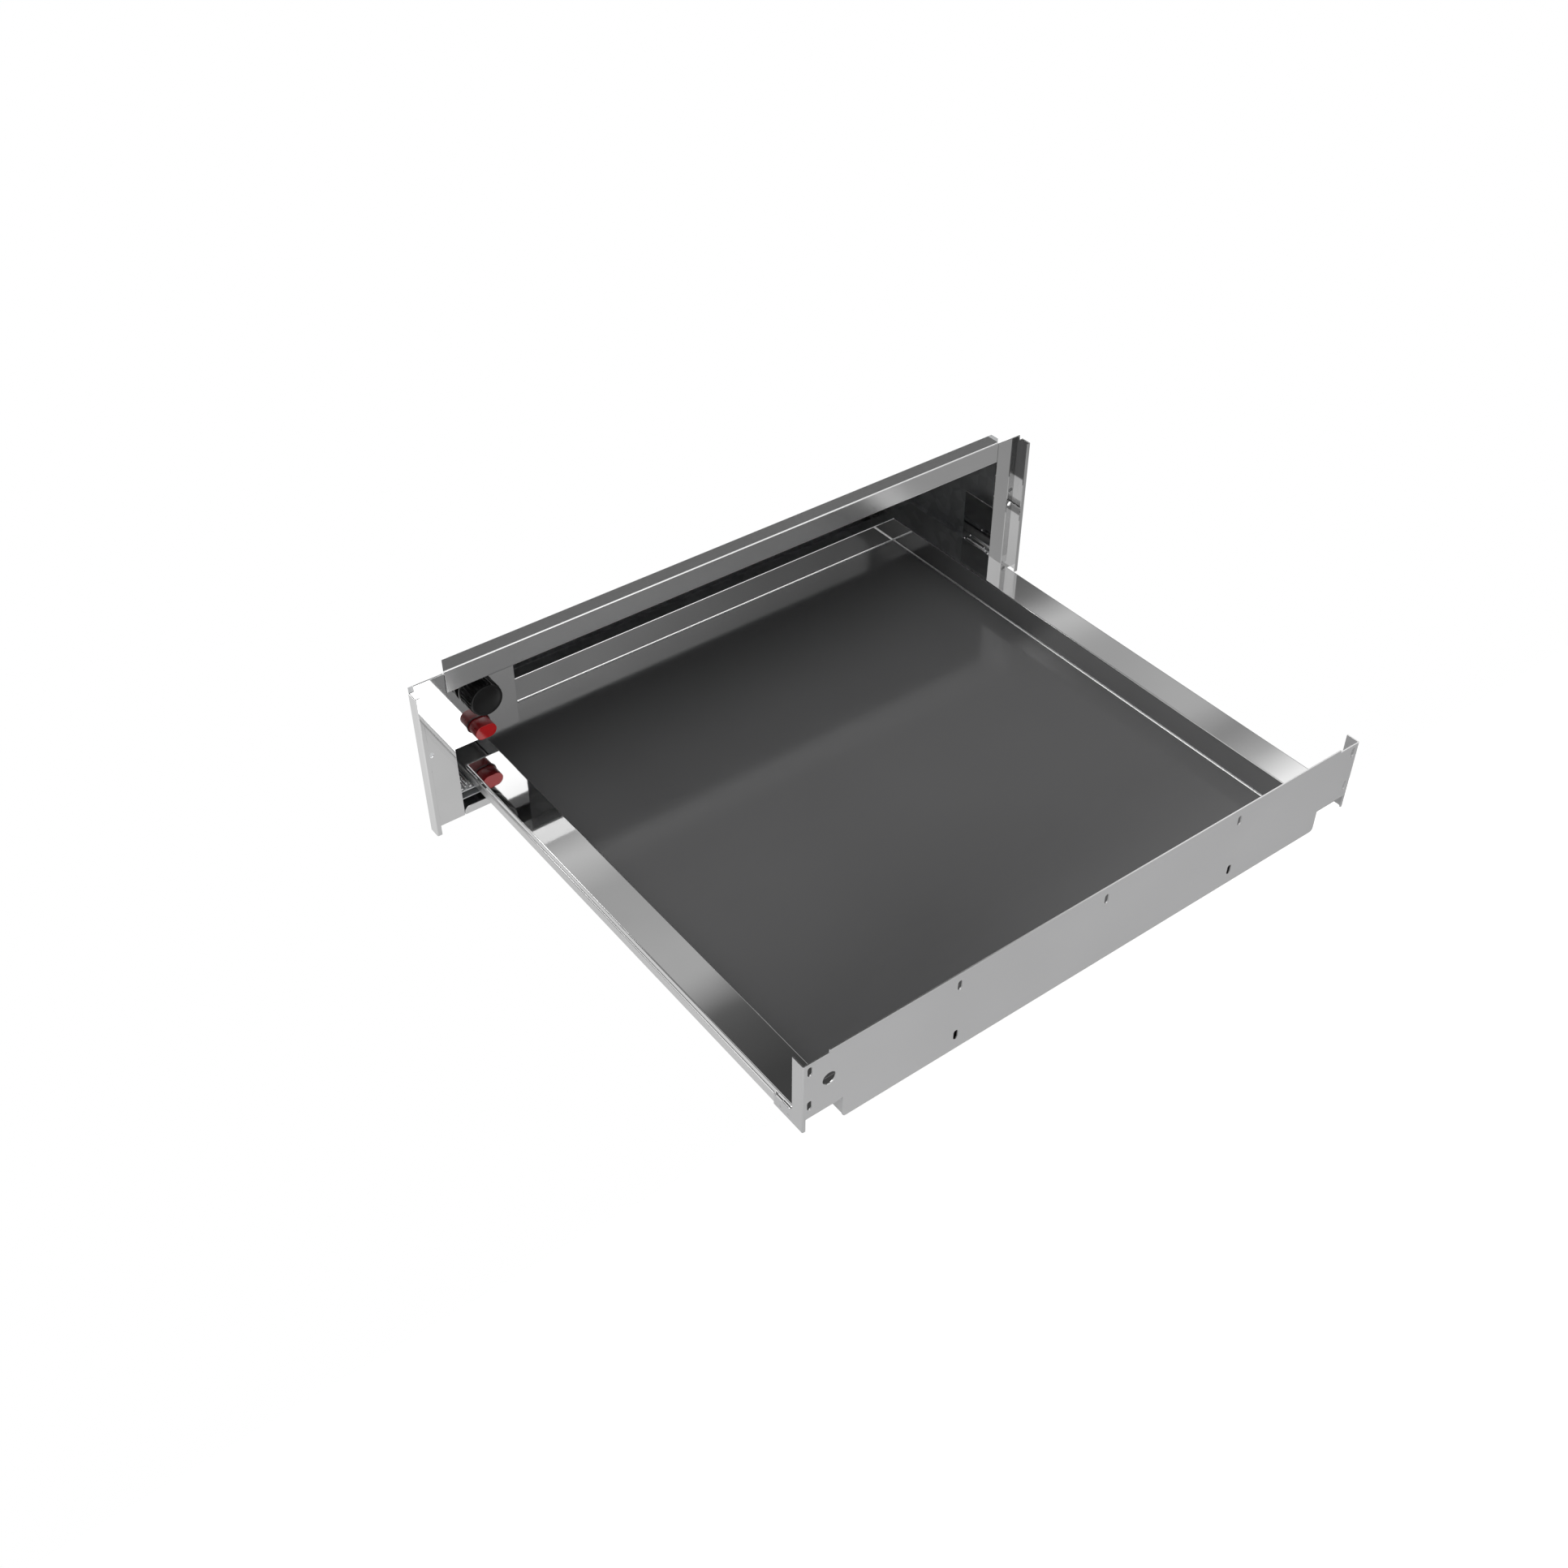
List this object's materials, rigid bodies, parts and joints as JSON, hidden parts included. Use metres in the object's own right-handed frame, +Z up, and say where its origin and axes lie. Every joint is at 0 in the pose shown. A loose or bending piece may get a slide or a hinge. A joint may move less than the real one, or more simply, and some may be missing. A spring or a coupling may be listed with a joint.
{
  "type": "built in warming drawer",
  "caption": "Built in warming drawer drawn out on ball slides: steel front frame, recessed knob and push button, hot air unit at the back, carrier plate ready for a front panel.",
  "frame": {"origin": "middle of the width, on the seating plane at the back of the front frame's flanges, at the underside that stands on the niche floor", "axes": "+X to the right seen from the front, +Y into the cabinet, +Z up"},
  "size_m": [0.596, 0.9608, 0.1384],
  "materials": {
    "bright_steel": "bright annealed",
    "zinc_steel": "galvanised",
    "grey_paint": "satin",
    "dark_glass": "gloss",
    "slide_steel": "zinc plated",
    "ball_steel": "polished",
    "black_plastic": "satin",
    "red_plastic": "translucent",
    "light_plastic": "matt",
    "aluminium": "as pressed",
    "rubber": "matt"
  },
  "bodies": {
    "housing": {"frame_left": "bright_steel", "frame_right": "bright_steel", "top_bar": "bright_steel", "sill": "bright_steel", "base_pan": "zinc_steel", "side_wall_left": "zinc_steel", "side_wall_right": "zinc_steel", "roof_panel": "zinc_steel", "back_panel": "zinc_steel", "inner_rear_wall": "bright_steel", "rail_bracket_left": "zinc_steel", "rail_bracket_right": "zinc_steel", "slide_rail_left": "slide_steel", "slide_rail_right": "slide_steel", "control_plate": "bright_steel", "control_box": "zinc_steel", "thermostat_body": "light_plastic", "switch_body": "black_plastic", "fan_motor": "grey_paint", "heater_ring": "zinc_steel", "overheat_cutout": "light_plastic", "temperature_probe": "slide_steel", "terminal_block": "light_plastic", "cable_inlet": "rubber", "tray_buffers": "rubber", "housing_screws": "slide_steel", "rail_screws": "slide_steel"},
    "drawer": {"front_carrier": "grey_paint", "tray_pan": "bright_steel", "floor_glass": "dark_glass", "slide_member_left": "slide_steel", "slide_member_right": "slide_steel"},
    "ball_row_left": {"ball_cage_left": "zinc_steel", "slide_balls_left": "ball_steel"},
    "ball_row_right": {"ball_cage_right": "zinc_steel", "slide_balls_right": "ball_steel"},
    "knob": {"thermostat_knob": "black_plastic", "thermostat_shaft": "slide_steel"},
    "button": {"power_button": "red_plastic"},
    "fan_rotor": {"fan_impeller": "aluminium", "fan_shaft": "slide_steel"}
  },
  "joints": [
    {"name": "drawer_slide", "type": "slide", "parent": "housing", "child": "drawer", "axis": [0, 1, 0], "range_m": [0, 0.412]},
    {"name": "ball_row_left_slide", "type": "slide", "parent": "housing", "child": "ball_row_left", "axis": [0, 1, 0], "range_m": [0, 0.206]},
    {"name": "ball_row_right_slide", "type": "slide", "parent": "housing", "child": "ball_row_right", "axis": [0, 1, 0], "range_m": [0, 0.206]},
    {"name": "knob_turn", "type": "hinge", "parent": "housing", "child": "knob", "pos_m": [-0.237, 0, 0.09582], "axis": [0, 1, 0], "range_deg": [0, 270]},
    {"name": "button_press", "type": "slide", "parent": "housing", "child": "button", "axis": [0, 1, 0], "range_m": [0, 0.003], "stiffness_N_per_m": 800, "springref_m": -0.001},
    {"name": "fan_spin", "type": "hinge", "parent": "housing", "child": "fan_rotor", "pos_m": [0, 0.5, 0.069], "axis": [0, 1, 0], "continuous": true}
  ],
  "couplings": [
    {"joint": "ball_row_left_slide", "follows": "drawer_slide", "ratio": 0.5},
    {"joint": "ball_row_right_slide", "follows": "drawer_slide", "ratio": 0.5}
  ]
}
